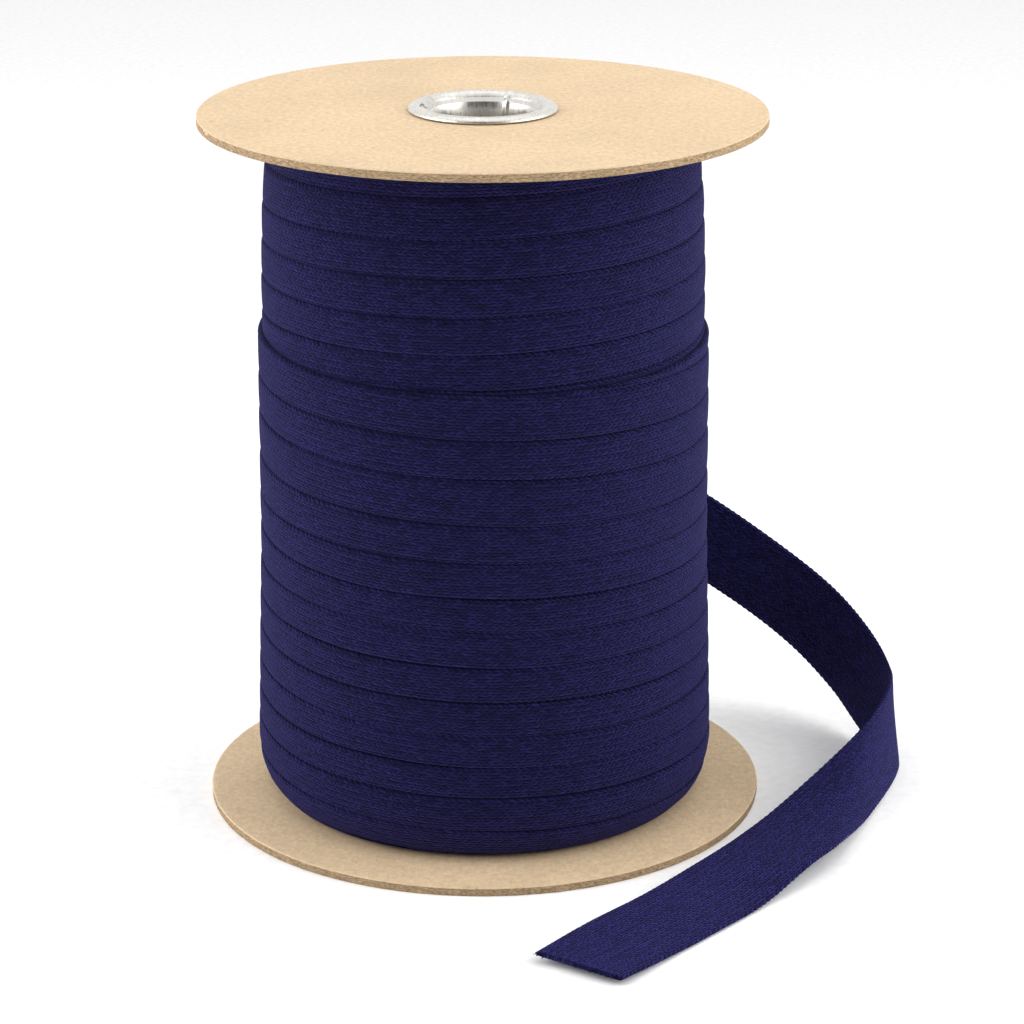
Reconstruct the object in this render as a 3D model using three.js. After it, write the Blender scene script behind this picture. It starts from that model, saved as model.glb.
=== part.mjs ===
// A reel of flat braid binding with one loose tail.
// Units are millimetres, +Z is up and the reel stands on its lower flange.
// The reel's axis is worked at x = y = 0; -Y is the side that faces the viewer.
// The whole group is shifted at the end, so that the origin is the middle of the base of its box.

import * as THREE from 'three';
import { mergeGeometries, mergeVertices } from 'three/addons/utils/BufferGeometryUtils.js';

// Driving sizes of the braid
const braidWidth = 25.4;
const braidThickness = 1.2;

// Driving sizes of the flanges and the tube
const reelHeight = 193.6;
const topFlangeDiameter = 152.4;
const bottomFlangeDiameter = 154.6;
const boardThickness = 2.4;
const boardArris = 0.4;
const boreDiameter = 29.0;
const tubeWall = 0.6;
const rimDiameter = 40.2;
const rimHeight = 1.8;
const rimPressedIn = 1.5;

// Clearance between pieces that touch
const gap = 0.3;

// Facets around the round pieces
const flangeSegments = 72;
const tubeSegments = 48;
const rimSegments = 8;
const windingSegments = 56;

const boreRadius = boreDiameter / 2;
const tubeRadius = boreRadius + tubeWall;
const rimRadius = rimDiameter / 2;
const holeRadius = tubeRadius + gap;
const bareRadius = rimRadius + 2;
const topFace = reelHeight;
const windingTop = reelHeight - boardThickness - gap;
const windingBottom = boardThickness + gap;

// Outer size of the winding, from the top flange down to the thick step
const upperOutline = [
  { height: windingTop, radius: 57.6 },
  { height: 178.0, radius: 58.6 },
  { height: 170.0, radius: 59.3 },
  { height: 151.0, radius: 60.0 },
  { height: 125.0, radius: 60.1 },
];

// Outer size of the last layer, from the step down to the lower flange
const lowerOutline = [
  { height: 140.0, radius: 61.2 },
  { height: 115.0, radius: 61.5 },
  { height: 75.0, radius: 61.8 },
  { height: 45.0, radius: 62.8 },
  { height: 17.0, radius: 63.6 },
  { height: 12.0, radius: 63.1 },
  { height: 8.0, radius: 61.9 },
  { height: 5.0, radius: 60.2 },
  { height: windingBottom, radius: 57.4 },
];

// Where the edge of each turn crosses the front of the reel, one row a turn
const upperTurns = [193.6, 183.3, 172.4, 162.2, 152.2, 142.6, 132.9, 123.2];
const lowerTurns = [142.0, 132.0, 119.9, 109.8, 96.9, 86.8, 77.1, 67.6, 58.1, 48.4, 38.9, 30.3, 21.4, 12.1, 3.0, -6.0];

// The step where the last layer begins runs round the reel a little tilted
const stepMiddle = 134.5;
const stepTilt = 2.5;
const stepLowestAt = THREE.MathUtils.degToRad(8);

// Section of one turn: how far each part of it lies below the outline
const turnSection = [
  { at: 0.0, depth: 0.85 },
  { at: 0.12, depth: 0.0 },
  { at: 0.7, depth: 0.15 },
];
const snapDistance = 0.6;

// The loose tail, from its cut end to where it is about to touch the winding: places of its upper
// edge, which is the inner one where it lies flat, and of its lower one
const looseStations = [
  { upper: [12.5, -115.5, 2.5], lower: [34.0, -129.5, 2.0] },
  { upper: [26.0, -99.5, 3.0], lower: [45.5, -116.0, 1.0] },
  { upper: [40.5, -83.5, 3.0], lower: [59.5, -100.0, 0.5] },
  { upper: [53.5, -68.0, 3.5], lower: [73.0, -84.5, 1.0] },
  { upper: [68.5, -50.5, 5.0], lower: [86.5, -68.0, 4.5] },
  { upper: [83.0, -35.0, 9.5], lower: [95.5, -54.5, 4.5] },
  { upper: [105.0, -13.5, 21.0], lower: [107.0, -27.0, 1.0] },
  { upper: [115.0, 6.5, 26.0], lower: [118.5, 7.0, 1.5] },
  { upper: [116.5, 23.0, 27.0], lower: [111.0, 27.0, 2.5] },
  { upper: [112.0, 37.5, 32.5], lower: [103.0, 44.0, 10.0] },
  { upper: [102.5, 48.5, 41.0], lower: [91.5, 56.0, 19.5] },
  { upper: [87.5, 56.0, 51.5], lower: [75.5, 63.0, 30.5] },
  { upper: [66.0, 61.0, 65.5], lower: [54.0, 65.0, 44.0] },
  { upper: [39.5, 63.0, 81.0], lower: [26.5, 63.0, 59.0] },
];
const stepsPerStation = 8;

// From the back of the reel the tail climbs the winding and levels out along the step
const lieFrom = THREE.MathUtils.degToRad(180);
const lieTo = THREE.MathUtils.degToRad(250);
const lieStations = 6;
const lieFirstHeight = 89.7;
const lieLevelling = 1.5;
const lieCrest = 61.75;

function material(color, roughness, metalness) {
  return new THREE.MeshStandardMaterial({ color, roughness, metalness });
}

function mesh(name, geometry, finish) {
  const piece = new THREE.Mesh(geometry, finish);
  piece.name = name;
  return piece;
}

// A ring turned from a closed profile of [radius, height] points
function turned(profile, segments) {
  const points = profile.map(([radius, height]) => new THREE.Vector2(radius, height));
  points.push(points[0].clone());
  const lathe = new THREE.LatheGeometry(points, segments);
  lathe.rotateX(Math.PI / 2);
  return lathe;
}

// Reads a value from a table of rows by linear interpolation; the rows run downwards in height
function radiusAt(outline, height) {
  let row = 0;
  while (row < outline.length - 2 && height < outline[row + 1].height) {
    row += 1;
  }
  const above = outline[row];
  const below = outline[row + 1];
  const share = (above.height - height) / (above.height - below.height);
  return THREE.MathUtils.lerp(above.radius, below.radius, share);
}

// Height of the edge between turns, counted in turns from the first row of the table
function turnHeight(heights, turns) {
  const row = THREE.MathUtils.clamp(Math.floor(turns), 0, heights.length - 2);
  return THREE.MathUtils.lerp(heights[row], heights[row + 1], turns - row);
}

function stepHeight(angle) {
  return stepMiddle - stepTilt * Math.cos(angle - stepLowestAt);
}

// Points of one helical run of turns. The rows follow the turns and fall off to one side, and
// are held between the two ends of the run, where they close up into a ring. The row above
// the first one of the table fills the wedge that the slope leaves under the upper end.
function helicalRun({ heights, outline, hand, upperEnd, lowerEnd }) {
  const rows = [];
  for (let turn = -1; turn < heights.length - 1; turn += 1) {
    for (const { at, depth } of turnSection) {
      const row = [];
      for (let column = 0; column <= windingSegments; column += 1) {
        const angle = (column / windingSegments - 0.5) * 2 * Math.PI;
        const turns = turn + at + (hand * angle) / (2 * Math.PI);
        const high = upperEnd(angle);
        const low = lowerEnd(angle);
        let height = turnHeight(heights, turns);
        let radius = radiusAt(outline, height) - depth;
        if (height > high - snapDistance) {
          height = high;
          radius = radiusAt(outline, high);
        } else if (height < low + snapDistance) {
          height = low;
          radius = radiusAt(outline, low);
        }
        row.push(new THREE.Vector3(radius * Math.sin(angle), -radius * Math.cos(angle), height));
      }
      rows.push(row);
    }
  }
  return rows;
}

// A ring of points at one radius and height
function ring(radius, height) {
  const row = [];
  for (let column = 0; column <= windingSegments; column += 1) {
    const angle = (column / windingSegments - 0.5) * 2 * Math.PI;
    row.push(new THREE.Vector3(radius * Math.sin(angle), -radius * Math.cos(angle), height));
  }
  return row;
}

// Joins rows of points into one surface. Quads whose corners fall together become triangles
// or vanish, and vertices that fall together are merged.
function skin(rows) {
  const positions = [];
  const tolerance = 1e-6;
  const addTriangle = (a, b, c) => {
    const same = a.distanceTo(b) < tolerance || b.distanceTo(c) < tolerance || c.distanceTo(a) < tolerance;
    if (!same) {
      positions.push(...a.toArray(), ...b.toArray(), ...c.toArray());
    }
  };
  for (let row = 0; row < rows.length - 1; row += 1) {
    for (let column = 0; column < rows[row].length - 1; column += 1) {
      const a = rows[row][column];
      const b = rows[row][column + 1];
      const c = rows[row + 1][column + 1];
      const d = rows[row + 1][column];
      addTriangle(a, d, b);
      addTriangle(b, d, c);
    }
  }
  const geometry = new THREE.BufferGeometry();
  geometry.setAttribute('position', new THREE.Float32BufferAttribute(positions, 3));
  return mergeVertices(geometry, 1e-3);
}

// Round board flange with a soft arris. The recess takes the tube's lower rim.
function flange(radius, base, recessDepth) {
  const top = base + boardThickness;
  const profile = [
    [holeRadius, top],
    [bareRadius, top],
    [radius - boardArris, top],
    [radius, top - boardArris],
    [radius, base + boardArris],
    [radius - boardArris, base],
  ];
  if (recessDepth > 0) {
    const recessRadius = rimRadius + gap;
    profile.push([recessRadius, base], [recessRadius, base + recessDepth], [holeRadius, base + recessDepth]);
  } else {
    profile.push([holeRadius, base]);
  }
  return turned(profile.reverse(), flangeSegments);
}

// Half an oval from the bore out to the rim's edge, rising from the seat or hanging below it
function rimCurve(seat, height) {
  const middle = (rimRadius + boreRadius) / 2;
  const reach = (rimRadius - boreRadius) / 2;
  const curve = [];
  for (let step = 0; step <= rimSegments; step += 1) {
    const angle = Math.PI * (1 - step / rimSegments);
    curve.push([middle + reach * Math.cos(angle), seat + height * Math.sin(angle)]);
  }
  return curve;
}

// Metal tube, its ends rolled out over the boards. The upper rim stands up as a rounded bead,
// and the lower one is pressed into the board, so that the reel stands on its flange.
function coreTube() {
  const upperSeat = topFace + gap;
  const lowerSeat = rimPressedIn - gap;
  const lowerDepth = lowerSeat - gap;
  return turned([
    ...rimCurve(lowerSeat, -lowerDepth),
    [tubeRadius, lowerSeat],
    [tubeRadius, upperSeat],
    ...rimCurve(upperSeat, rimHeight).reverse(),
  ], tubeSegments);
}

// The wound braid: a ring with its turns raised on the outside
function winding() {
  const upper = helicalRun({
    heights: upperTurns,
    outline: upperOutline,
    hand: -1,
    upperEnd: () => windingTop,
    lowerEnd: stepHeight,
  });
  const lower = helicalRun({
    heights: lowerTurns,
    outline: lowerOutline,
    hand: 1,
    upperEnd: stepHeight,
    lowerEnd: () => windingBottom,
  });
  return skin([
    ring(holeRadius, windingTop),
    ...upper,
    ...lower,
    ring(holeRadius, windingBottom),
    ring(holeRadius, windingTop),
  ]);
}

// The tail's section at a share of its length from the cut end: three points across its outer
// face and three back across its inner one. Where the tail is down it rests on the surface.
function tailSection(upperEdge, lowerEdge, share) {
  const upper = upperEdge.getPoint(share);
  const lower = lowerEdge.getPoint(share);
  upper.z = Math.max(upper.z, braidThickness / 2);
  lower.z = Math.max(lower.z, braidThickness / 2);
  const middle = upper.clone().lerp(lower, 0.5);
  const along = upperEdge.getTangent(share).add(lowerEdge.getTangent(share));
  const outward = along.cross(upper.clone().sub(lower)).setLength(braidThickness / 2);
  return [
    ...[lower, middle, upper].map((point) => point.clone().add(outward)),
    ...[upper, middle, lower].map((point) => point.clone().sub(outward)),
  ];
}

// Stations where the tail lies on the winding. Its straight section is square to the climb and
// bridges the curve, so its edges stand off a little more than its middle.
function lyingStations() {
  const lastHeight = stepHeight(lieTo) - braidWidth / 2;
  const climb = lastHeight - lieFirstHeight;
  const run = (lieTo - lieFrom) * lieCrest;
  const clearRadius = lieCrest + gap + braidThickness / 2;
  const stations = [];
  for (let station = 0; station < lieStations; station += 1) {
    const share = station / (lieStations - 1);
    const angle = THREE.MathUtils.lerp(lieFrom, lieTo, share);
    const height = lastHeight - climb * (1 - share) ** lieLevelling;
    const slope = Math.atan((climb / run) * lieLevelling * (1 - share) ** (lieLevelling - 1));
    const aside = Math.asin((braidWidth / 2) * Math.sin(slope) / clearRadius);
    const radius = clearRadius / Math.cos(aside);
    const edge = (side) => [
      radius * Math.sin(angle - side * aside),
      -radius * Math.cos(angle - side * aside),
      height + side * (braidWidth / 2) * Math.cos(slope),
    ];
    stations.push({ upper: edge(1), lower: edge(-1) });
  }
  return stations;
}

function tail() {
  const stations = [...looseStations, ...lyingStations()];
  const smooth = (rows) => new THREE.CatmullRomCurve3(
    rows.map((place) => new THREE.Vector3(...place)), false, 'catmullrom', 0.5,
  );
  const upperEdge = smooth(stations.map(({ upper }) => upper));
  const lowerEdge = smooth(stations.map(({ lower }) => lower));
  const steps = stepsPerStation * (stations.length - 1);
  const rows = [];
  for (let step = 0; step <= steps; step += 1) {
    const section = tailSection(upperEdge, lowerEdge, step / steps);
    rows.push([...section, section[0]]);
  }
  const first = rows[0];
  const last = rows[rows.length - 1];
  const sides = skin(rows);
  const cutEnd = skin([[first[5], first[4], first[3]], [first[0], first[1], first[2]]]);
  const rootEnd = skin([[last[0], last[1], last[2]], [last[5], last[4], last[3]]]);
  return mergeVertices(mergeGeometries([sides, cutEnd, rootEnd]), 1e-3);
}

const board = () => material(0xd9b98b, 0.85, 0);
const navyBraid = () => material(0x1c1a52, 0.95, 0);

const reel = new THREE.Group();
reel.add(mesh('flange_bottom', flange(bottomFlangeDiameter / 2, 0, rimPressedIn), board()));
reel.add(mesh('flange_top', flange(topFlangeDiameter / 2, reelHeight - boardThickness, 0), board()));
reel.add(mesh('core_tube', coreTube(), material(0xc9c8c4, 0.35, 0.9)));
reel.add(mesh('winding', winding(), navyBraid()));
reel.add(mesh('tail', tail(), navyBraid()));

const box = new THREE.Box3().setFromObject(reel);
reel.position.set(-(box.min.x + box.max.x) / 2, -(box.min.y + box.max.y) / 2, -box.min.z);

const group = new THREE.Group();
group.add(reel);
group.updateMatrixWorld(true);

export default group;
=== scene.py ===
"""Reel of navy braid binding with a loose tail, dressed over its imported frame."""

import math
import random

import bmesh
import bpy
from mathutils import Euler, Matrix, Vector, noise


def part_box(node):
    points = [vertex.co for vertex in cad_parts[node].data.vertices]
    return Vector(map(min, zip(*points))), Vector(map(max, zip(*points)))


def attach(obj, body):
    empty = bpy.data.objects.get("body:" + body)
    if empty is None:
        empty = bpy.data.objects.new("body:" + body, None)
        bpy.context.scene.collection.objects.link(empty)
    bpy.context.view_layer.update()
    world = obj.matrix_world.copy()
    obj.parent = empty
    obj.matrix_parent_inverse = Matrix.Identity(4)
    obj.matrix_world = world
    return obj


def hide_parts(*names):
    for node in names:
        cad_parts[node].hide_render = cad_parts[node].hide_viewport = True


bl_info = {
    "name": "Reel of braid binding",
    "version": (1, 0, 0),
    "blender": (4, 5, 0),
    "location": "3D View > Sidebar > Braid reel",
    "description": "Dresses a flanged reel of plaited braid and its loose tail",
    "category": "Object",
}

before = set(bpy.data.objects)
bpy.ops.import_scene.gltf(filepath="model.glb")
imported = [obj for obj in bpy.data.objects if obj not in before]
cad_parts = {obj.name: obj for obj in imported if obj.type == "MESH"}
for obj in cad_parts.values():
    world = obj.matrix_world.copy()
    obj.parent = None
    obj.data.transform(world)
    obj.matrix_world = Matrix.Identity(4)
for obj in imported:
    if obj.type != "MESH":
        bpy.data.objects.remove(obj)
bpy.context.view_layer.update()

MM = 0.001
TURN = 2 * math.pi

# Places worked out from the frame, in metres
top_low, top_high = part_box("flange_top")
base_low, base_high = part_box("flange_bottom")
tube_low, tube_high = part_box("core_tube")
AXIS_X = (top_low[0] + top_high[0]) / 2
AXIS_Y = (top_low[1] + top_high[1]) / 2
TOP_RADIUS = (top_high[0] - top_low[0]) / 2
BASE_RADIUS = (base_high[0] - base_low[0]) / 2
BOARD = base_high[2] - base_low[2]
REEL_TOP = top_high[2]

# Sizes of the tube and the gaps, as in the solids
BORE_RADIUS = 14.5 * MM
TUBE_WALL = 0.6 * MM
RIM_RADIUS = (tube_high[0] - tube_low[0]) / 2
GAP = 0.3 * MM
HOLE_RADIUS = BORE_RADIUS + TUBE_WALL + GAP
RECESS = 1.5 * MM
WINDING_TOP = REEL_TOP - BOARD - GAP
WINDING_BOTTOM = BOARD + GAP

# Outer size of the winding above the step: height and radius in millimetres
UPPER_OUTLINE = [(190.9, 57.6), (178.0, 58.6), (170.0, 59.3), (151.0, 60.0), (125.0, 60.1)]

# The same from the step down to the lower flange
LOWER_OUTLINE = [
    (140.0, 61.2), (115.0, 61.5), (75.0, 61.8), (45.0, 62.8), (17.0, 63.6),
    (12.0, 63.1), (8.0, 61.9), (5.0, 60.2), (2.7, 57.4),
]

# Heights, in millimetres, where the edge of each turn crosses the front of the reel
UPPER_TURNS = [193.6, 183.3, 172.4, 162.2, 152.2, 142.6, 132.9, 123.2]
LOWER_TURNS = [
    142.0, 132.0, 119.9, 109.8, 96.9, 86.8, 77.1, 67.6,
    58.1, 48.4, 38.9, 30.3, 21.4, 12.1, 3.0, -6.0,
]

# Section of one turn: share of its visible height, and depth below the outline in millimetres
TURN_SECTION = [
    (0.000, 1.00), (0.020, 0.55), (0.045, 0.20), (0.085, 0.05), (0.16, 0.0), (0.32, 0.0),
    (0.52, 0.04), (0.72, 0.12), (0.86, 0.24), (0.935, 0.42), (0.975, 0.70),
]

# How the surface rounds off next to the step and the boards: distance and depth in millimetres
END_ROUNDING = [(0.9, 0.0), (0.55, 0.1), (0.28, 0.3), (0.1, 0.6), (0.0, 0.95)]

# Middling radius of the wound braid, in millimetres, by which its map runs along it
MAP_RADIUS = 61.0

# The step in the winding: its middle height and how far it dips, in millimetres, and where it is lowest
STEP_MIDDLE = 134.5
STEP_TILT = 2.5
STEP_LOWEST_AT = math.radians(8)

# The loose tail as in the solids, from its cut end: places of its upper edge, the inner one where
# it lies flat, and of its lower one, in millimetres from the reel's axis
TAIL_STATIONS = [
    ((12.5, -115.5, 2.5), (34.0, -129.5, 2.0)), ((26.0, -99.5, 3.0), (45.5, -116.0, 1.0)),
    ((40.5, -83.5, 3.0), (59.5, -100.0, 0.5)), ((53.5, -68.0, 3.5), (73.0, -84.5, 1.0)),
    ((68.5, -50.5, 5.0), (86.5, -68.0, 4.5)), ((83.0, -35.0, 9.5), (95.5, -54.5, 4.5)),
    ((105.0, -13.5, 21.0), (107.0, -27.0, 1.0)), ((115.0, 6.5, 26.0), (118.5, 7.0, 1.5)),
    ((116.5, 23.0, 27.0), (111.0, 27.0, 2.5)), ((112.0, 37.5, 32.5), (103.0, 44.0, 10.0)),
    ((102.5, 48.5, 41.0), (91.5, 56.0, 19.5)), ((87.5, 56.0, 51.5), (75.5, 63.0, 30.5)),
    ((66.0, 61.0, 65.5), (54.0, 65.0, 44.0)), ((39.5, 63.0, 81.0), (26.5, 63.0, 59.0)),
]

# Where the tail lies on the winding: angles round the reel, and its first height, how it levels
# out and the radius that it lies on, in millimetres
LIE_FROM = math.radians(180)
LIE_TO = math.radians(250)
LIE_STATIONS = 6
LIE_FIRST_HEIGHT = 89.7
LIE_LEVELLING = 1.5
LIE_CREST = 61.75

# The tube's seam and the torn place in its rim, in degrees from the front, growing to the right
SEAM_AT = 155
SEAM_WIDTH = 3.0
TEAR_AT = -88
TEAR_WIDTH = 14.0

# A nick in the upper board's rim: where it is and half its width in degrees, and its depth
NICK_AT = -71
NICK_WIDTH = 1.6
NICK_DEPTH = 0.7 * MM

# Painted shade: the wound braid's colour is made darker than the loose tail's, to stand for the weaker light
# on the front of the winding and the shade between its turns
WOUND_PAINTED_SHADE = 0.62

# Colours of the cotton's sheen, and of the painted shade in the split of the torn rim
SHEEN_TINT = (0.30, 0.27, 0.95, 1)
TEAR_PAINTED_SHADE = (0.02, 0.016, 0.012, 1)

# Vertices closer than this, in metres, are welded
WELD = 2e-6

# The camera as fitted to the photograph, in metres and degrees
CAMERA_DISTANCE = 0.8693
CAMERA_HEIGHT = 0.3740
CAMERA_DOWN = 18.65
CAMERA_RIGHT = 0.51
CAMERA_LENS = 116.4
SENSOR = 36.0


def lerp(a, b, share):
    return a + (b - a) * share


def table_value(rows, key):
    """Reads the second column of a falling table at a value of the first, carried on past its ends."""
    place = 0
    while place < len(rows) - 2 and key < rows[place + 1][0]:
        place += 1
    (high, first), (low, second) = rows[place], rows[place + 1]
    return lerp(first, second, (high - key) / (high - low))


def turn_height(heights, turns):
    """Height of the edge between turns, counted in turns from the table's first row."""
    row = min(max(math.floor(turns), 0), len(heights) - 2)
    return lerp(heights[row], heights[row + 1], turns - row)


def turns_at(heights, height):
    """How many turns down the table a height is."""
    row = 0
    while row < len(heights) - 2 and height < heights[row + 1]:
        row += 1
    return row + (heights[row] - height) / (heights[row] - heights[row + 1])


def step_height(angle):
    return STEP_MIDDLE - STEP_TILT * math.cos(angle - STEP_LOWEST_AT)


def waver(along):
    """Slow uneven drift of a turn's edge, from -1 to 1, by how far along the braid it is in radians."""
    return 0.5 * math.sin(1.7 * along + 0.4) + 0.3 * math.sin(4.3 * along + 2.1) + 0.2 * math.sin(9.1 * along)


def bump_at(value, middle, half_width):
    """A smooth bump from 0 up to 1 and back, centred on one value."""
    return max(0.0, 1 - ((value - middle) / half_width) ** 2)


def around(radius, angle, height):
    """A place round the reel. The angle is 0 at the front and grows to the right."""
    return Vector((AXIS_X + radius * math.sin(angle), AXIS_Y - radius * math.cos(angle), height))


def catmull_rom(rows, place):
    """A smooth value between the rows of a table, place being counted in rows."""
    last = len(rows) - 1
    row = min(int(place), last - 1)
    share = place - row
    before = rows[row - 1] if row > 0 else 2 * rows[0] - rows[1]
    after = rows[row + 2] if row + 2 <= last else 2 * rows[last] - rows[last - 1]
    here, there = rows[row], rows[row + 1]
    slope, next_slope = (there - before) / 2, (after - here) / 2
    square, cube = share**2, share**3
    return (
        here * (2 * cube - 3 * square + 1)
        + there * (3 * square - 2 * cube)
        + slope * (cube - 2 * square + share)
        + next_slope * (cube - square)
    )


def grid(columns, rows):
    """A flat grid to bend into shape, with the column and row of each vertex by its index."""
    bm = bmesh.new()
    bmesh.ops.create_grid(bm, x_segments=columns, y_segments=rows, size=0.5)
    bm.verts.ensure_lookup_table()
    places = [(round((v.co.x + 0.5) * columns), round((0.5 - v.co.y) * rows)) for v in bm.verts]
    return bm, places


def turned(profile, segments):
    """A closed ring spun round the reel's axis from a closed profile of (radius, height) points."""
    bm = bmesh.new()
    verts = [bm.verts.new(around(radius, 0, height)) for radius, height in profile]
    edges = [bm.edges.new((a, b)) for a, b in zip(verts, verts[1:] + verts[:1])]
    bmesh.ops.spin(
        bm, geom=verts + edges, cent=(AXIS_X, AXIS_Y, 0), axis=(0, 0, 1),
        angle=TURN, steps=segments, use_merge=True,
    )
    bmesh.ops.recalc_face_normals(bm, faces=bm.faces)
    return bm


def finished(name, bm, finishes, node):
    """Turns a bmesh into a smooth object of the reel that stands for a node of the frame."""
    mesh = bpy.data.meshes.new(name)
    bm.to_mesh(mesh)
    bm.free()
    mesh.shade_smooth()
    piece = bpy.data.objects.new(name, mesh)
    bpy.context.scene.collection.objects.link(piece)
    for finish in finishes:
        mesh.materials.append(finish)
    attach(piece, "root")
    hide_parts(node)
    return piece


class Finish:
    """A material and short calls that add its nodes."""

    def __init__(self, name, roughness):
        self.material = bpy.data.materials.new(name)
        self.material.use_nodes = True
        self.tree = self.material.node_tree
        self.shader = self.tree.nodes["Principled BSDF"]
        self.shader.inputs["Roughness"].default_value = roughness

    def node(self, kind, inputs=(), **settings):
        made = self.tree.nodes.new(kind)
        for setting, value in settings.items():
            setattr(made, setting, value)
        for place, value in dict(inputs).items():
            self.feed(made.inputs[place], value)
        return made

    def feed(self, socket, value):
        if isinstance(value, bpy.types.NodeSocket):
            self.tree.links.new(value, socket)
        else:
            socket.default_value = value

    def math(self, operation, *values):
        return self.node("ShaderNodeMath", dict(enumerate(values)), operation=operation).outputs[0]

    def span(self, value, low, high, to_low=0.0, to_high=1.0):
        """A value carried from one range to another and held inside it."""
        inputs = {0: value, 1: low, 2: high, 3: to_low, 4: to_high}
        return self.node("ShaderNodeMapRange", inputs).outputs[0]

    def noise(self, vector, scale, detail=2.0, roughness=0.5):
        inputs = {"Vector": vector, "Scale": scale, "Detail": detail, "Roughness": roughness}
        return self.node("ShaderNodeTexNoise", inputs).outputs["Fac"]

    def blend(self, share, first, second, kind="MIX"):
        made = self.node("ShaderNodeMix", data_type="RGBA", blend_type=kind)
        for place, value in (("Factor_Float", share), ("A_Color", first), ("B_Color", second)):
            self.feed(next(s for s in made.inputs if s.identifier == place), value)
        return next(s for s in made.outputs if s.identifier == "Result_Color")

    def shaded(self, color, shade):
        """A plain colour made lighter or darker by a value."""
        grey = self.node("ShaderNodeCombineColor", {0: shade, 1: shade, 2: shade}).outputs[0]
        return self.blend(1.0, (*color, 1), grey, "MULTIPLY")

    def object_place(self, scale=(1, 1, 1)):
        coordinates = self.node("ShaderNodeTexCoord").outputs["Object"]
        return self.node("ShaderNodeMapping", {"Vector": coordinates, "Scale": scale}).outputs[0]

    def bump(self, height, distance, strength):
        inputs = {"Height": height, "Distance": distance, "Strength": strength}
        return self.node("ShaderNodeBump", inputs).outputs[0]

    def wear(self, color, normal):
        """Joins the finished colour and relief to the shader."""
        self.feed(self.shader.inputs["Base Color"], color)
        self.feed(self.shader.inputs["Normal"], normal)
        return self.material


def braid_finish(name, braid, depth=1.0):
    """Plaited cotton: rows of short slanting stitches, two to a rib, read from the map that runs along it."""
    finish = Finish(name, 0.88)
    finish.shader.inputs["Specular IOR Level"].default_value = 0.05
    finish.shader.inputs["Sheen Weight"].default_value = braid.sheen
    finish.shader.inputs["Sheen Roughness"].default_value = 0.45
    finish.shader.inputs["Sheen Tint"].default_value = SHEEN_TINT
    place = finish.node("ShaderNodeUVMap", uv_map="along and across").outputs[0]
    drift = finish.noise(place, 0.22, 2.0)
    split = finish.node("ShaderNodeSeparateXYZ", {0: place})
    across = finish.math("DIVIDE", split.outputs[1], braid.stitch_width)
    along = finish.math("DIVIDE", split.outputs[0], braid.stitch_length)
    along = finish.math("ADD", along, finish.span(drift, 0.3, 0.7, -0.5, 0.5))
    column = finish.math("FLOOR", across)
    inside = finish.math("FRACT", across)
    odd = finish.math("FLOORED_MODULO", column, 2.0)
    side = finish.math("SUBTRACT", finish.math("MULTIPLY", odd, 2.0), 1.0)
    from_middle = finish.math("SUBTRACT", inside, 0.5)
    slant = finish.math("MULTIPLY", finish.math("MULTIPLY", side, braid.slant), from_middle)
    stitch = finish.math("ADD", along, slant)
    stitch_round = finish.math("SINE", finish.math("MULTIPLY", finish.math("FRACT", stitch), math.pi))
    column_round = finish.math("SINE", finish.math("MULTIPLY", inside, math.pi))
    stitch_round = finish.math("POWER", stitch_round, 0.6)
    column_round = finish.math("POWER", column_round, 0.45)
    relief = finish.math("MULTIPLY", stitch_round, column_round)
    number = finish.node("ShaderNodeCombineXYZ", {0: finish.math("FLOOR", stitch), 1: column}).outputs[0]
    chance = finish.node("ShaderNodeTexWhiteNoise", {"Vector": number}).outputs["Value"]
    fibres = finish.noise(place, 3.5, 3.0, 0.6)
    cloud = finish.noise(place, 0.05, 3.0)
    groove_shade = finish.node("ShaderNodeAttribute", attribute_name="groove_shade").outputs["Fac"]
    # Painted shade and highlight: each stitch is darker in its hollows and lighter on its crest, by its
    # relief
    shade = finish.span(relief, 0.2, 0.95, 0.08, 1.42)
    shade = finish.math("MULTIPLY", shade, finish.span(chance, 0.0, 1.0, 0.55, 1.45))
    shade = finish.math("MULTIPLY", shade, finish.span(fibres, 0.3, 0.7, 0.72, 1.3))
    shade = finish.math("MULTIPLY", shade, finish.span(cloud, 0.3, 0.7, 0.92, 1.08))
    # Painted shade: the braid is darkened along the grooves between turns, by the groove depth kept on the
    # winding
    shade = finish.math("MULTIPLY", shade, finish.span(groove_shade, 0.25, 0.9, 1.0, 0.1))
    # Painted shade: a depth below 1 darkens the whole braid colour; the wound braid uses it for the weaker
    # light on the winding
    tone = [depth * channel for channel in braid.color]
    color = finish.shaded(tone, shade)
    raised = finish.math("ADD", relief, finish.math("MULTIPLY", fibres, 0.35))
    raised = finish.math("ADD", raised, finish.math("MULTIPLY", chance, 0.25))
    return finish.wear(color, finish.bump(raised, 0.45 * MM, 1.0))


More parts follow.
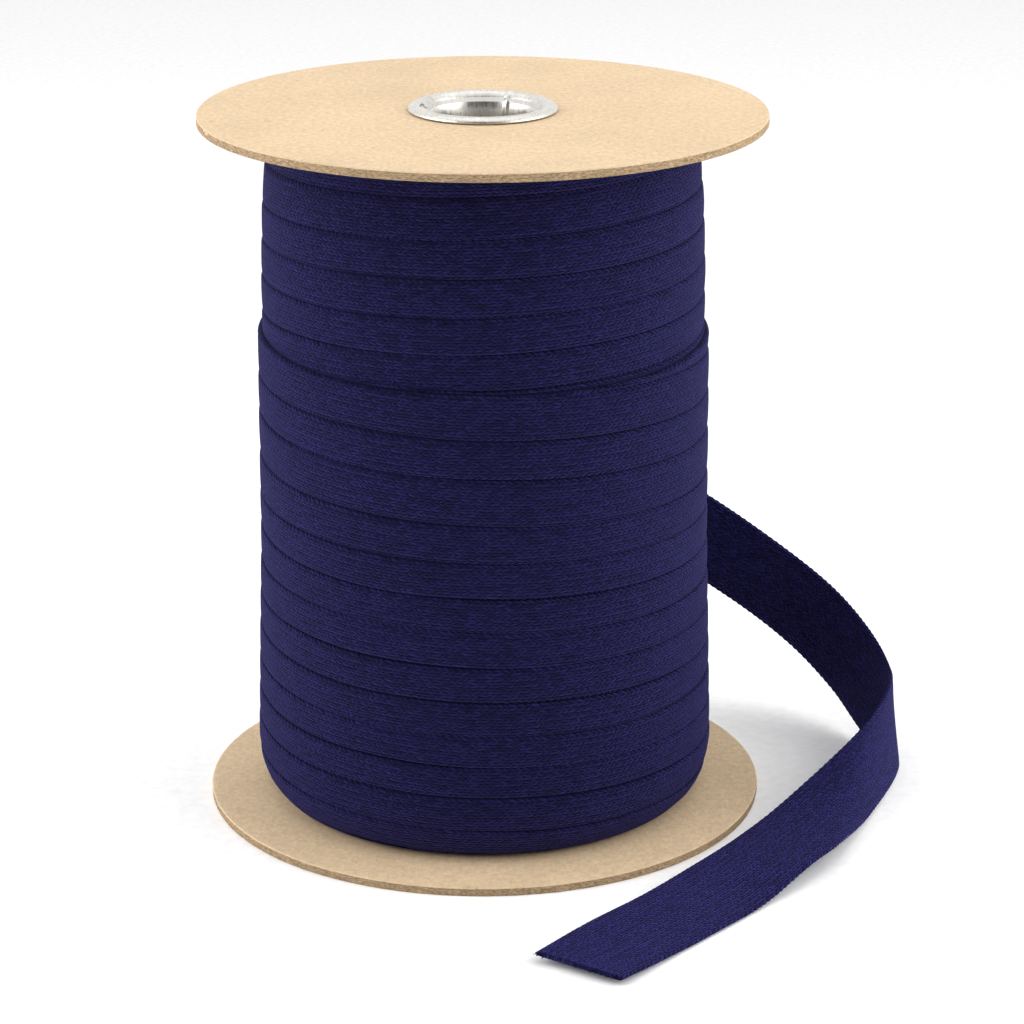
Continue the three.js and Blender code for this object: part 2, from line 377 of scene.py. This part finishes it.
def board_finish(name, color, streaks):
    """Pressed fibreboard: mottled, with pale and dark fibres, or with level streaks on a cut edge."""
    finish = Finish(name, 0.82)
    finish.shader.inputs["Specular IOR Level"].default_value = 0.2
    place = finish.object_place((1, 1, 3) if streaks else (1, 1, 1))
    clouds = finish.noise(place, 35.0, 3.0)
    grain = finish.noise(place, 900.0 if streaks else 650.0, 3.0, 0.7)
    fibres = finish.noise(finish.object_place((1, 0.25, 4) if streaks else (1, 0.35, 1)), 1100.0, 2.0, 0.65)
    cells = finish.node("ShaderNodeTexVoronoi", {"Vector": place, "Scale": 240.0}, feature="F1")
    flecks = cells.outputs["Distance"]
    depth = 0.55 if streaks else 0.12
    shade = finish.span(grain, 0.3, 0.7, 1 - depth, 1 + depth)
    shade = finish.math("MULTIPLY", shade, finish.span(fibres, 0.3, 0.7, 1 - depth / 2, 1 + depth / 2))
    shade = finish.math("MULTIPLY", shade, finish.span(clouds, 0.3, 0.7, 0.95, 1.05))
    shade = finish.math("MULTIPLY", shade, finish.span(flecks, 0.03, 0.12, 0.66, 1.0))
    tone = finish.shaded(color, shade)
    raised = finish.math("ADD", grain, finish.math("MULTIPLY", fibres, 0.6))
    return finish.wear(tone, finish.bump(raised, (0.22 if streaks else 0.06) * MM, 0.8))


def metal_finish(metal):
    """Satin sheet metal with fine draw marks down the tube."""
    finish = Finish("tube metal", metal.roughness)
    marks = finish.noise(finish.object_place((1, 1, 0.06)), 1500.0, 2.0, 0.6)
    clouds = finish.noise(finish.object_place(), 120.0, 3.0)
    shade = finish.span(marks, 0.3, 0.7, 0.86, 1.1)
    shade = finish.math("MULTIPLY", shade, finish.span(clouds, 0.3, 0.7, 0.9, 1.06))
    tone = finish.shaded(metal.color, shade)
    torn = finish.node("ShaderNodeAttribute", attribute_name="torn").outputs["Fac"]
    ragged = finish.noise(finish.object_place(), 700.0, 2.0)
    torn = finish.math("ADD", torn, finish.math("MULTIPLY", finish.math("SUBTRACT", ragged, 0.5), 0.9))
    # Painted shade: a thin dark ragged line without metal stands for the shadow in the split of the torn rim;
    # past it the card shows in its own colour
    split = finish.span(torn, 0.36, 0.42)
    tone = finish.blend(split, tone, TEAR_PAINTED_SHADE)
    tone = finish.blend(finish.span(torn, 0.66, 0.74), tone, (*metal.card_color, 1))
    finish.feed(finish.shader.inputs["Metallic"], finish.math("SUBTRACT", 1.0, split))
    roughness = finish.span(marks, 0.3, 0.7, metal.roughness, metal.roughness + 0.14)
    finish.feed(finish.shader.inputs["Roughness"], roughness)
    return finish.wear(tone, finish.bump(marks, 0.02 * MM, 0.6))


def plain_finish(name, color, roughness):
    """A matt finish with a faint mottle, for the floor."""
    finish = Finish(name, roughness)
    mottle = finish.noise(finish.object_place(), 300.0, 2.0)
    shade = finish.span(mottle, 0.3, 0.7, 0.96, 1.04)
    tone = finish.shaded(color, shade)
    return finish.wear(tone, finish.bump(mottle, 0.01 * MM, 0.2))


class BraidSettings(bpy.types.PropertyGroup):
    color: bpy.props.FloatVectorProperty(
        name="Colour", description="Colour of the braid", subtype="COLOR",
        default=(0.0128, 0.0115, 0.0715), min=0, max=1)
    width: bpy.props.FloatProperty(
        name="Width", description="Width of the braid", default=25.4 * MM, unit="LENGTH")
    thickness: bpy.props.FloatProperty(
        name="Thickness", description="Thickness of the braid", default=1.2 * MM, unit="LENGTH")
    stitch_width: bpy.props.FloatProperty(
        name="Stitch width", description="Width of one row of stitches in millimetres", default=0.84)
    stitch_length: bpy.props.FloatProperty(
        name="Stitch length", description="Length of one stitch in millimetres", default=1.9)
    slant: bpy.props.FloatProperty(
        name="Slant", description="How far a stitch leans along the braid, in stitches", default=0.9)
    sheen: bpy.props.FloatProperty(
        name="Sheen", description="Strength of the cotton's soft sheen", default=0.20, min=0, max=1)


class BoardSettings(bpy.types.PropertyGroup):
    face_color: bpy.props.FloatVectorProperty(
        name="Face colour", description="Colour of the board's faces", subtype="COLOR",
        default=(0.645, 0.485, 0.315), min=0, max=1)
    edge_color: bpy.props.FloatVectorProperty(
        name="Edge colour", description="Colour of the board's cut edge", subtype="COLOR",
        default=(0.34, 0.24, 0.14), min=0, max=1)
    arris: bpy.props.FloatProperty(
        name="Arris", description="Size of the soft corner round the board", default=0.3 * MM, unit="LENGTH")
    segments: bpy.props.IntProperty(name="Segments", description="Facets round a flange", default=480)


class TubeSettings(bpy.types.PropertyGroup):
    color: bpy.props.FloatVectorProperty(
        name="Colour", description="Colour of the sheet metal", subtype="COLOR",
        default=(0.66, 0.64, 0.60), min=0, max=1)
    card_color: bpy.props.FloatVectorProperty(
        name="Card colour", description="Colour of the card that shows where the rim is torn",
        subtype="COLOR",
        default=(0.60, 0.44, 0.27), min=0, max=1)
    roughness: bpy.props.FloatProperty(name="Roughness", description="Roughness of the metal", default=0.24)
    segments: bpy.props.IntProperty(name="Segments", description="Facets round the tube", default=288)


class WindingSettings(bpy.types.PropertyGroup):
    columns: bpy.props.IntProperty(name="Columns", description="Facets round the winding", default=256)
    drift: bpy.props.FloatProperty(
        name="Drift", description="How far a turn's edge wavers, in millimetres", default=0.28)


class TailSettings(bpy.types.PropertyGroup):
    steps: bpy.props.IntProperty(name="Steps", description="Steps along the tail", default=900)
    frays: bpy.props.IntProperty(name="Frays", description="Loose threads at the cut end", default=60)
    fray_seed: bpy.props.IntProperty(
        name="Fray seed", description="Changes how the loose threads fall", default=4)
    serration: bpy.props.FloatProperty(
        name="Serration", description="How far the loops of the edge stand out",
        default=0.12 * MM, unit="LENGTH")


class StageSettings(bpy.types.PropertyGroup):
    floor_color: bpy.props.FloatVectorProperty(
        name="Floor colour", description="Colour of the floor", subtype="COLOR",
        default=(0.97, 0.97, 0.97), min=0, max=1)
    side_light: bpy.props.FloatProperty(
        name="Side light", description="Power of each side light", default=7.0)
    top_light: bpy.props.FloatProperty(name="Top light", description="Power of the light above", default=2.0)
    sky: bpy.props.FloatProperty(
        name="Sky", description="Strength of the sky at the sides and back", default=1.14)
    sky_behind: bpy.props.FloatProperty(
        name="Sky behind", description="Strength of the sky behind the viewer", default=0.12)


class REEL_OT_stage(bpy.types.Operator):
    """Lays the floor and sets the studio lights and the camera."""

    bl_idname = "reel.stage"
    bl_label = "Stage"

    def execute(self, context):
        settings = context.scene.reel_stage
        self.lay_floor(settings)
        for side in (-1, 1):
            self.hang_light(
                "side light", settings.side_light, (0.9, 0.9),
                around(0.85, side * math.radians(74), 0.42), Vector((AXIS_X, AXIS_Y, 0.09)))
        self.hang_light(
            "top light", settings.top_light, (1.2, 1.2),
            Vector((AXIS_X, AXIS_Y + 0.1, 1.1)), Vector((AXIS_X, AXIS_Y, 0.1)))
        self.paint_sky(context, settings)
        context.scene.view_settings.view_transform = "Standard"
        self.place_camera(context)
        return {"FINISHED"}

    def paint_sky(self, context, settings):
        """An even white studio sky that is darker behind the viewer."""
        world = bpy.data.worlds.new("studio")
        context.scene.world = world
        world.use_nodes = True
        tree = world.node_tree
        background = tree.nodes["Background"]
        direction = tree.nodes.new("ShaderNodeTexCoord").outputs["Generated"]
        split = tree.nodes.new("ShaderNodeSeparateXYZ")
        tree.links.new(direction, split.inputs[0])
        fade = tree.nodes.new("ShaderNodeMapRange")
        for place, value in ((1, -0.75), (2, 0.05), (3, settings.sky_behind), (4, settings.sky)):
            fade.inputs[place].default_value = value
        tree.links.new(split.outputs["Y"], fade.inputs[0])
        tree.links.new(fade.outputs[0], background.inputs["Strength"])
        background.inputs["Color"].default_value = (1, 1, 1, 1)

    def lay_floor(self, settings):
        bm = bmesh.new()
        bmesh.ops.create_grid(bm, x_segments=8, y_segments=8, size=6)
        mesh = bpy.data.meshes.new("floor")
        bm.to_mesh(mesh)
        bm.free()
        floor = bpy.data.objects.new("floor", mesh)
        bpy.context.scene.collection.objects.link(floor)
        mesh.materials.append(plain_finish("floor", settings.floor_color, 0.9))

    def hang_light(self, name, power, size, place, aim):
        lamp = bpy.data.lights.new(name, "AREA")
        lamp.shape = "RECTANGLE"
        lamp.size, lamp.size_y = size
        lamp.energy = power
        light = bpy.data.objects.new(name, lamp)
        light.location = place
        light.rotation_euler = (aim - place).to_track_quat("-Z", "Y").to_euler()
        bpy.context.scene.collection.objects.link(light)

    def place_camera(self, context):
        lens = bpy.data.cameras.new("camera")
        lens.lens = CAMERA_LENS
        lens.sensor_width = SENSOR
        lens.clip_end = 50
        camera = bpy.data.objects.new("camera", lens)
        camera.location = (AXIS_X, AXIS_Y - CAMERA_DISTANCE, CAMERA_HEIGHT)
        camera.rotation_euler = Euler((math.radians(90 - CAMERA_DOWN), 0, math.radians(-CAMERA_RIGHT)))
        context.scene.collection.objects.link(camera)
        context.scene.camera = camera


class REEL_OT_boards(bpy.types.Operator):
    """Turns the two round boards with their rough cut edges."""

    bl_idname = "reel.boards"
    bl_label = "Boards"

    def execute(self, context):
        settings = context.scene.reel_board
        face = board_finish("board face", settings.face_color, streaks=False)
        edge = board_finish("board edge", settings.edge_color, streaks=True)
        self.board("board_top", settings, TOP_RADIUS, REEL_TOP - BOARD, 0.0, (face, edge), "flange_top")
        self.board("board_bottom", settings, BASE_RADIUS, 0.0, RECESS, (face, edge), "flange_bottom")
        return {"FINISHED"}

    def board(self, name, settings, radius, base, recess, finishes, node):
        top = base + BOARD
        arris = settings.arris
        hole = HOLE_RADIUS
        profile = [(hole, top), (hole + 4 * MM, top), (radius - 8 * MM, top), (radius - 1.2 * MM, top)]
        corner = [(radius - arris * (1 - math.sin(a)), top - arris * (1 - math.cos(a)))
                  for a in (math.radians(30 * i) for i in range(4))]
        rim_rows = 6
        rim = [(radius, lerp(top - arris, base + arris, row / rim_rows)) for row in range(1, rim_rows)]
        low_corner = [(r, top + base - z) for r, z in reversed(corner)]
        profile += corner + rim + low_corner + [(radius - 1.2 * MM, base)]
        if recess:
            wide = RIM_RADIUS + GAP
            profile += [(wide, base), (wide, base + recess), (hole, base + recess)]
        else:
            profile += [(hole, base)]
        bm = turned(profile, settings.segments)
        self.roughen_edge(bm, radius)
        for facet in bm.faces:
            middle = facet.calc_center_median()
            out = math.hypot(middle.x - AXIS_X, middle.y - AXIS_Y)
            on_arris = middle.z > top - arris
            facet.material_index = 1 if out > radius - 0.30 * MM and not on_arris else 0
        finished(name, bm, finishes, node)

    def roughen_edge(self, bm, radius):
        """Roughens the cut edge by fine noise about 0.1 mm inside the board's size, and cuts the nick."""
        for vert in bm.verts:
            out = Vector((vert.co.x - AXIS_X, vert.co.y - AXIS_Y, 0))
            if out.length > radius - 0.35 * MM:
                coarse = noise.noise(vert.co * 260)
                fine = noise.noise(vert.co * 900)
                vert.co -= out.normalized() * (0.10 + 0.06 * coarse + 0.06 * fine) * MM
                if vert.co.z > REEL_TOP - BOARD / 2:
                    angle = math.degrees(math.atan2(out.x, -out.y))
                    vert.co -= out.normalized() * NICK_DEPTH * bump_at(angle, NICK_AT, NICK_WIDTH)


class REEL_OT_tube(bpy.types.Operator):
    """Turns the sheet metal tube whose ends roll out over the boards."""

    bl_idname = "reel.tube"
    bl_label = "Tube"

    def execute(self, context):
        settings = context.scene.reel_tube
        seat = REEL_TOP + GAP
        inner = [
            (RIM_RADIUS, seat), (RIM_RADIUS, seat + 0.35 * MM), (RIM_RADIUS - 0.7 * MM, seat + 1.0 * MM),
            (RIM_RADIUS - 1.8 * MM, seat + 1.5 * MM), (RIM_RADIUS - 2.8 * MM, seat + 1.45 * MM),
            (BORE_RADIUS + 1.7 * MM, seat + 0.9 * MM), (BORE_RADIUS + 0.9 * MM, seat - 0.3 * MM),
            (BORE_RADIUS + 0.35 * MM, seat - 1.8 * MM), (BORE_RADIUS, seat - 4 * MM),
        ]
        inner += [(BORE_RADIUS, lerp(seat - 4 * MM, 5 * MM, row / 12)) for row in range(1, 13)]
        inner += [(BORE_RADIUS + 0.2 * MM, 2.4 * MM), (BORE_RADIUS + 1.0 * MM, 1.1 * MM),
                  (BORE_RADIUS + 2.4 * MM, 0.5 * MM), (RIM_RADIUS - 0.5 * MM, 0.35 * MM),
                  (RIM_RADIUS, 0.8 * MM)]
        outer = [(RIM_RADIUS, 1.2 * MM), (BORE_RADIUS + TUBE_WALL, 1.2 * MM), (BORE_RADIUS + TUBE_WALL, seat)]
        bm = turned(inner + outer, settings.segments)
        self.wear_rim(bm, seat)
        finished("tube", bm, [metal_finish(settings)], "core_tube")
        return {"FINISHED"}

    def wear_rim(self, bm, seat):
        """Raises the seam down the tube, and marks and dents the torn place in the mouth of the rim."""
        torn = bm.verts.layers.float.new("torn")
        for vert in bm.verts:
            out = Vector((vert.co.x - AXIS_X, vert.co.y - AXIS_Y, 0))
            angle = math.degrees(math.atan2(out.x, -out.y))
            on_rim = vert.co.z > seat - 0.1 * MM
            seam = bump_at(angle, SEAM_AT, SEAM_WIDTH)
            if out.length < RIM_RADIUS - 1 * MM or on_rim:
                vert.co -= out.normalized() * seam * (0.05 if on_rim else 0.3) * MM
                vert.co.z += (0.25 * MM if on_rim else 0.0) * seam
            if vert.co.z > seat - 5 * MM and out.length < BORE_RADIUS + 2 * MM:
                beside = bump_at(angle, TEAR_AT, TEAR_WIDTH)
                # The torn mask sets where the material puts the painted shade of the split and the card's own
                # colour
                vert[torn] = beside
                vert.co.z -= 0.4 * MM * beside if on_rim else 0.0
                lip = bump_at(angle, TEAR_AT + TEAR_WIDTH, TEAR_WIDTH / 2)
                vert.co -= out.normalized() * 0.8 * MM * lip


class REEL_OT_winding(bpy.types.Operator):
    """Winds the braid: turns that overlap in one thick roll with a step part of the way up."""

    bl_idname = "reel.winding"
    bl_label = "Winding"

    def execute(self, context):
        self.settings = context.scene.reel_winding
        rows = [self.ring(HOLE_RADIUS / MM, WINDING_TOP / MM)]
        rows += self.run(UPPER_TURNS, UPPER_OUTLINE, -1, lambda angle: WINDING_TOP / MM, step_height)
        rows += self.run(LOWER_TURNS, LOWER_OUTLINE, 1, step_height, lambda angle: WINDING_BOTTOM / MM)
        rows += [self.ring(HOLE_RADIUS / MM, WINDING_BOTTOM / MM), rows[0]]
        columns = self.settings.columns
        bm, places = grid(columns, len(rows) - 1)
        groove_shade = bm.verts.layers.float.new("groove_shade")
        spots = {}
        for vert, (column, row) in zip(bm.verts, places):
            angle = (column / columns - 0.5) * TURN
            spot = rows[row](angle)
            spots[vert] = (angle, spot)
            vert.co = around(spot["radius"] * MM, angle, spot["height"] * MM)
            # The depth below the outline is kept for the material's painted shade in the grooves between
            # turns
            vert[groove_shade] = spot["depth"]
        self.map_braid(bm, spots)
        bmesh.ops.remove_doubles(bm, verts=bm.verts, dist=WELD)
        bmesh.ops.dissolve_degenerate(bm, edges=bm.edges, dist=1e-6)
        bmesh.ops.recalc_face_normals(bm, faces=bm.faces)
        # The wound braid gets a darker copy of the braid colour, as painted shade
        finish = braid_finish("wound braid", context.scene.reel_braid, WOUND_PAINTED_SHADE)
        finished("wound_braid", bm, [finish], "winding")
        return {"FINISHED"}

    def ring(self, radius, height):
        """A plain row at one radius and height, in millimetres."""
        return lambda angle: {"radius": radius, "height": height, "depth": 0.0, "turns": 0.0, "hand": 1}

    def run(self, heights, outline, hand, upper_end, lower_end):
        """The rows of one helical run of turns, between rounded rows at its two ends."""
        rows = []
        for distance, depth in reversed(END_ROUNDING):
            rows.append(self.end_row(heights, outline, hand, upper_end, -distance, depth))
        for turn in range(-1, len(heights) - 1):
            for share, depth in TURN_SECTION:
                rows.append(self.turn_row(heights, outline, hand, turn, share, depth, upper_end, lower_end))
        for distance, depth in END_ROUNDING:
            rows.append(self.end_row(heights, outline, hand, lower_end, distance, depth))
        return rows

    def end_row(self, heights, outline, hand, end, distance, depth):
        def row(angle):
            height = end(angle) + distance
            turns = turns_at(heights, height) - hand * angle / TURN
            return {
                "radius": table_value(outline, height) - depth, "height": height,
                "depth": depth, "turns": turns, "hand": hand,
            }
        return row

    def turn_row(self, heights, outline, hand, turn, share, depth, upper_end, lower_end):
        clear = END_ROUNDING[0][0]

        def row(angle):
            along = angle + hand * TURN * turn
            sway = self.settings.drift * waver(along + 31.0 * hand)
            height = turn_height(heights, turn + share + hand * angle / TURN) + sway
            high, low = upper_end(angle) - clear, lower_end(angle) + clear
            if low < height < high:
                deep = depth * (0.80 + 0.35 * waver(0.37 * along + 5.0))
                return {
                    "radius": table_value(outline, height) - deep, "height": height,
                    "depth": deep, "turns": turn + share, "hand": hand,
                }
            held = high if height >= high else low
            turns = turns_at(heights, held - sway) - hand * angle / TURN
            return {
                "radius": table_value(outline, held), "height": held,
                "depth": 0.0, "turns": turns, "hand": hand,
            }
        return row

    def map_braid(self, bm, spots):
        """Lays the braid's own map over the turns, in millimetres along it and across it."""
        mapped = bm.loops.layers.uv.new("along and across")
        for facet in bm.faces:
            corners = [spots[loop.vert] for loop in facet.loops]
            hand = corners[0][1]["hand"]
            turn = math.floor(sum(spot["turns"] for _, spot in corners) / len(corners))
            heights = UPPER_TURNS if hand < 0 else LOWER_TURNS
            for loop, (angle, spot) in zip(facet.loops, corners):
                along = (angle + hand * TURN * turn) * MAP_RADIUS
                row = min(max(turn, 0), len(heights) - 2)
                across = (spot["turns"] - turn) * (heights[row] - heights[row + 1])
                loop[mapped].uv = (along, across)


class REEL_OT_tail(bpy.types.Operator):
    """Lays the loose tail from the winding down to its cut end on the floor."""

    bl_idname = "reel.tail"
    bl_label = "Tail"

    def execute(self, context):
        self.braid = context.scene.reel_braid
        self.settings = context.scene.reel_tail
        stations = TAIL_STATIONS + self.lying_stations()
        self.upper_edge = [Vector(upper) for upper, _ in stations]
        self.lower_edge = [Vector(lower) for _, lower in stations]
        steps = self.settings.steps
        section = self.section()
        bm, places = grid(len(section), steps)
        length = [0.0]
        frames = [self.place(step / steps) for step in range(steps + 1)]
        for before, after in zip(frames, frames[1:]):
            length.append(length[-1] + (after[0] - before[0]).length)
        groove_shade = bm.verts.layers.float.new("groove_shade")
        for vert, (column, row) in zip(bm.verts, places):
            across, lift, hem = section[column % len(section)]
            middle, half_across, out = frames[row]
            loop = math.sin(TURN * length[row] / (self.braid.stitch_length * MM))
            outwards = half_across.normalized() * hem * self.settings.serration * loop
            vert.co = middle + half_across * across + outwards + out * lift
            vert[groove_shade] = 0.0
        self.map_braid(bm, places, section, length)
        bmesh.ops.remove_doubles(bm, verts=bm.verts, dist=WELD)
        ends = [edge for edge in bm.edges if edge.is_boundary]
        bmesh.ops.holes_fill(bm, edges=ends, sides=0)
        bmesh.ops.recalc_face_normals(bm, faces=bm.faces)
        self.fray(bm, frames)
        tail = finished("loose_tail", bm, [braid_finish("tail braid", self.braid)], "tail")
        return {"FINISHED"}

    def lying_stations(self):
        """Where the tail climbs the back of the winding and levels out along the step."""
        half = self.braid.width / MM / 2
        last = step_height(LIE_TO) - half
        climb = last - LIE_FIRST_HEIGHT
        run = (LIE_TO - LIE_FROM) * LIE_CREST
        clear = LIE_CREST + (GAP + self.braid.thickness / 2) / MM
        rows = []
        for station in range(LIE_STATIONS):
            share = station / (LIE_STATIONS - 1)
            angle = lerp(LIE_FROM, LIE_TO, share)
            height = last - climb * (1 - share) ** LIE_LEVELLING
            slope = math.atan(climb / run * LIE_LEVELLING * (1 - share) ** (LIE_LEVELLING - 1))
            aside = math.asin(half * math.sin(slope) / clear)
            radius = clear / math.cos(aside)
            rows.append([
                (radius * math.sin(turned_by), -radius * math.cos(turned_by),
                 height + side * half * math.cos(slope))
                for side, turned_by in ((1, angle - aside), (-1, angle + aside))
            ])
        return rows

    def fray(self, bm, frames):
        """Short loose threads that stand out of the cut end."""
        middle, half_across, out = frames[0]
        outwards = (middle - frames[4][0]).normalized()
        chance = random.Random(self.settings.fray_seed)
        for _ in range(self.settings.frays):
            across = chance.uniform(-1, 1)
            long = chance.triangular(0.5, 2.6, 0.8) * MM
            aim = outwards + half_across.normalized() * chance.uniform(-0.7, 0.7)
            aim += out * chance.uniform(-0.1, 0.35)
            start = middle + half_across * across * 0.99 + out * chance.uniform(-0.3, 0.3) * MM
            turned_to = aim.to_track_quat("Z", "Y").to_matrix().to_4x4()
            place = Matrix.Translation(start + aim.normalized() * long * 0.35) @ turned_to
            bmesh.ops.create_cone(
                bm, cap_ends=True, segments=5, radius1=0.11 * MM, radius2=0.05 * MM, depth=long, matrix=place)

    def edge_place(self, edge, share):
        """A place on one edge of the strip, never under the floor, and the way along it."""
        last = len(edge) - 1
        spot = share * last
        along = catmull_rom(edge, min(spot + 0.01, last)) - catmull_rom(edge, max(spot - 0.01, 0.0))
        place = Vector((AXIS_X, AXIS_Y, 0)) + catmull_rom(edge, spot) * MM
        place.z = max(place.z, self.braid.thickness / 2)
        return place, along.normalized()

    def place(self, share):
        """Middle of the strip, half its width as a vector across it and the way out of its face."""
        upper, upper_along = self.edge_place(self.upper_edge, share)
        lower, lower_along = self.edge_place(self.lower_edge, share)
        half_across = (upper - lower) / 2
        out = (upper_along + lower_along).cross(half_across).normalized()
        return (upper + lower) / 2, half_across, out

    def section(self):
        """The strip's section as (across from -1 to 1, out of the face, share of the edge's loops)."""
        half = self.braid.thickness / 2
        faces = 14
        hem = 1 - 1.8 * half / self.braid.width
        rows = []
        for face in (1, -1):
            for step in range(faces + 1):
                across = face * lerp(-hem, hem, step / faces)
                near = step in (0, faces)
                rows.append((across, face * half * (0.86 if near else 1.0), 0.0))
            rows.append((face, 0.0, face))
        return rows

    def map_braid(self, bm, places, section, length):
        """Lays the braid's own map over the strip, in millimetres along it and across it."""
        mapped = bm.loops.layers.uv.new("along and across")
        around_it = len(section)
        for facet in bm.faces:
            for loop in facet.loops:
                column, row = places[loop.vert.index]
                across = (section[column % around_it][0] + 1) / 2 * self.braid.width
                loop[mapped].uv = (length[row] / MM, across / MM)


class REEL_PT_panel(bpy.types.Panel):
    """Lists the steps that make the reel."""

    bl_idname = "REEL_PT_panel"
    bl_label = "Reel of braid binding"
    bl_space_type = "VIEW_3D"
    bl_region_type = "UI"
    bl_category = "Braid reel"

    def draw(self, context):
        for operator in OPERATORS:
            self.layout.operator(operator.bl_idname)
        for name in SETTINGS:
            group = getattr(context.scene, name)
            for key in group.__annotations__:
                self.layout.prop(group, key)


OPERATORS = [REEL_OT_stage, REEL_OT_boards, REEL_OT_tube, REEL_OT_winding, REEL_OT_tail]
SETTINGS = {
    "reel_braid": BraidSettings,
    "reel_board": BoardSettings,
    "reel_tube": TubeSettings,
    "reel_winding": WindingSettings,
    "reel_tail": TailSettings,
    "reel_stage": StageSettings,
}


def register():
    for kind in [*SETTINGS.values(), *OPERATORS, REEL_PT_panel]:
        bpy.utils.register_class(kind)
    for name, kind in SETTINGS.items():
        setattr(bpy.types.Scene, name, bpy.props.PointerProperty(type=kind))


def unregister():
    for name in SETTINGS:
        delattr(bpy.types.Scene, name)
    for kind in reversed([*SETTINGS.values(), *OPERATORS, REEL_PT_panel]):
        bpy.utils.unregister_class(kind)


def main():
    register()
    reel = bpy.ops.reel
    for step in (reel.stage, reel.boards, reel.tube, reel.winding, reel.tail):
        step()


if __name__ == "__main__":
    main()
